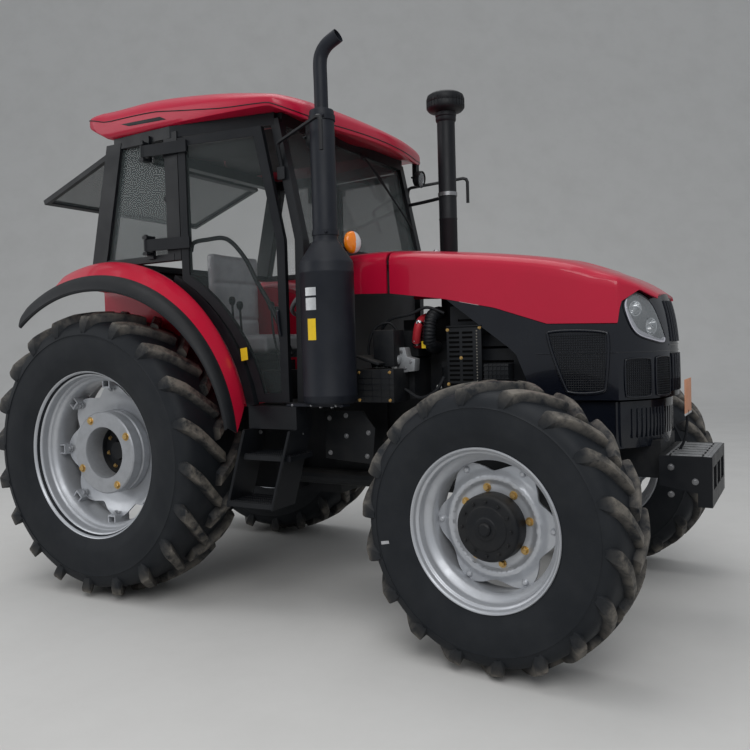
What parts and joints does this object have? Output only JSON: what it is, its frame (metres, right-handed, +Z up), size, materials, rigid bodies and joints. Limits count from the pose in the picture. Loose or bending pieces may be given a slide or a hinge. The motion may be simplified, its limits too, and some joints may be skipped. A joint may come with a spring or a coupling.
{
  "type": "farm tractor",
  "caption": "Four-wheel-drive farm tractor with a glazed cab, front weight bracket and three-point hitch; hood, doors, rear window, hitch, steering and wheels move.",
  "frame": {"origin": "on the ground under the middle of the overall box", "axes": "+X forward, +Y to the tractor's left, +Z up"},
  "size_m": [4.0449, 2.2124, 2.8014],
  "materials": {
    "hood_red": "glossy crimson paint",
    "roof_red": "satin red moulded roof",
    "fender_red": "glossy red paint",
    "nose_black": "glossy black",
    "flare_black": "satin black moulding",
    "cab_black": "black paint",
    "cab_lining": "dark grey lining",
    "cab_glass": "clear, faintly tinted glass",
    "frame_black": "black paint",
    "engine_black": "black painted castings",
    "engine_grey": "bare grey castings",
    "radiator_black": "black",
    "step_black": "black paint",
    "exhaust_charcoal": "matte charcoal heat paint",
    "intake_black": "black plastic",
    "seat_black": "black",
    "seat_cloth": "grey cloth under a pale film",
    "console_grey": "dark grey plastic",
    "lamp_body": "lamp housings",
    "lamp_clear": "clear lens",
    "steel_bar": "steel bar",
    "hitch_black": "black paint",
    "tyre": "new tyre rubber with dust on the lugs",
    "rim_silver": "silver-grey paint"
  },
  "bodies": {
    "chassis": {"front_support": "frame_black", "weight_bracket": "frame_black", "engine_block": "engine_black", "engine_fittings": "engine_grey", "radiator": "radiator_black", "gear_housing": "engine_black", "rear_axle_housing": "engine_black", "drive_shaft": "engine_black", "front_axle": "engine_black", "rear_cowl": "hood_red", "front_skirt": "nose_black", "cab_frame": "cab_black", "cab_floor": "cab_lining", "cab_roof": "roof_red", "cab_glass": "cab_glass", "fender_right": "fender_red", "fender_left": "fender_red", "fender_flares": "flare_black", "steps": "step_black", "exhaust": "exhaust_charcoal", "intake_stack": "intake_black", "seat_base": "seat_black", "seat_cushion": "seat_cloth", "seat_back": "seat_cloth", "dash_console": "console_grey", "lamps": "lamp_body", "mirror_arms": "frame_black", "drawbar": "frame_black"},
    "hood": {"hood_shell": "hood_red", "hood_nose": "nose_black", "headlamps": "lamp_clear"},
    "door_right": {"door_frame_right": "cab_black", "door_glass_right": "cab_glass"},
    "door_left": {"door_frame_left": "cab_black", "door_glass_left": "cab_glass"},
    "rear_window": {"rear_window_frame": "cab_black", "rear_window_glass": "cab_glass"},
    "knuckle_right": {"knuckle_right": "engine_black"},
    "knuckle_left": {"knuckle_left": "engine_black"},
    "tie_rod": {"tie_rod": "steel_bar"},
    "lower_links": {"lower_links": "hitch_black"},
    "lift_arms": {"lift_arms": "hitch_black"},
    "lift_rods": {"lift_rods": "hitch_black"},
    "top_link": {"top_link": "hitch_black"},
    "wheel_rear_right": {"tyre_rear_right": "tyre", "rim_rear_right": "rim_silver"},
    "wheel_rear_left": {"tyre_rear_left": "tyre", "rim_rear_left": "rim_silver"},
    "wheel_front_right": {"tyre_front_right": "tyre", "rim_front_right": "rim_silver"},
    "wheel_front_left": {"tyre_front_left": "tyre", "rim_front_left": "rim_silver"}
  },
  "joints": [
    {"name": "spin_rear_right", "type": "hinge", "parent": "chassis", "child": "wheel_rear_right", "pos_m": [-0.9975, -0.78, 0.775], "axis": [0, 1, 0], "continuous": true},
    {"name": "spin_rear_left", "type": "hinge", "parent": "chassis", "child": "wheel_rear_left", "pos_m": [-0.9975, 0.78, 0.775], "axis": [0, 1, 0], "continuous": true},
    {"name": "steer", "type": "hinge", "parent": "chassis", "child": "knuckle_right", "pos_m": [1.3025, -0.69, 0.586], "axis": [0, 0, 1], "range_deg": [-32, 44]},
    {"name": "steer_left", "type": "hinge", "parent": "chassis", "child": "knuckle_left", "pos_m": [1.3025, 0.69, 0.586], "axis": [0, 0, 1], "range_deg": [-32, 44]},
    {"name": "tie_rod_pin", "type": "hinge", "parent": "knuckle_right", "child": "tie_rod", "pos_m": [1.1036, -0.66909, 0.461], "axis": [0, 0, 1], "range_deg": [-44, 32]},
    {"name": "spin_front_right", "type": "hinge", "parent": "knuckle_right", "child": "wheel_front_right", "pos_m": [1.28107, -0.89388, 0.586], "axis": [0.1045, 0.9945, 0], "continuous": true},
    {"name": "spin_front_left", "type": "hinge", "parent": "knuckle_left", "child": "wheel_front_left", "pos_m": [1.32393, 0.89388, 0.586], "axis": [0.1045, 0.9945, 0], "continuous": true},
    {"name": "hood_lift", "type": "hinge", "parent": "chassis", "child": "hood", "pos_m": [0.5475, 0, 1.797], "axis": [0, -1, 0], "range_deg": [0, 50]},
    {"name": "door_right_hinge", "type": "hinge", "parent": "chassis", "child": "door_right", "pos_m": [-0.6675, -0.815, 1.88], "axis": [0, 0, -1], "range_deg": [0, 70]},
    {"name": "door_left_hinge", "type": "hinge", "parent": "chassis", "child": "door_left", "pos_m": [-0.6675, 0.815, 1.88], "axis": [0, 0, 1], "range_deg": [0, 70]},
    {"name": "rear_window_hinge", "type": "hinge", "parent": "chassis", "child": "rear_window", "pos_m": [-1.0255, 0, 2.455], "axis": [0, 1, 0], "range_deg": [-53, 0]},
    {"name": "hitch_lift", "type": "hinge", "parent": "chassis", "child": "lower_links", "pos_m": [-1.1275, 0, 0.52], "axis": [0, 1, 0], "range_deg": [-8, 25]},
    {"name": "lift_arm_shaft", "type": "hinge", "parent": "chassis", "child": "lift_arms", "pos_m": [-1.2125, 0, 0.96], "axis": [0, 1, 0], "range_deg": [-12.92, 38.25]},
    {"name": "lift_rod_pin", "type": "hinge", "parent": "lift_arms", "child": "lift_rods", "pos_m": [-1.50594, 0, 1.02237], "axis": [0, 1, 0], "range_deg": [-30.75, 10.52]},
    {"name": "top_link_pin", "type": "hinge", "parent": "chassis", "child": "top_link", "pos_m": [-1.3215, 0, 0.8], "axis": [0, 1, 0], "range_deg": [0, 45]}
  ],
  "couplings": [
    {"joint": "steer_left", "follows": "steer", "ratio": 1},
    {"joint": "tie_rod_pin", "follows": "steer", "ratio": -1},
    {"joint": "lift_arm_shaft", "follows": "hitch_lift", "ratio": 1.49},
    {"joint": "lift_rod_pin", "follows": "hitch_lift", "ratio": -1.19}
  ]
}
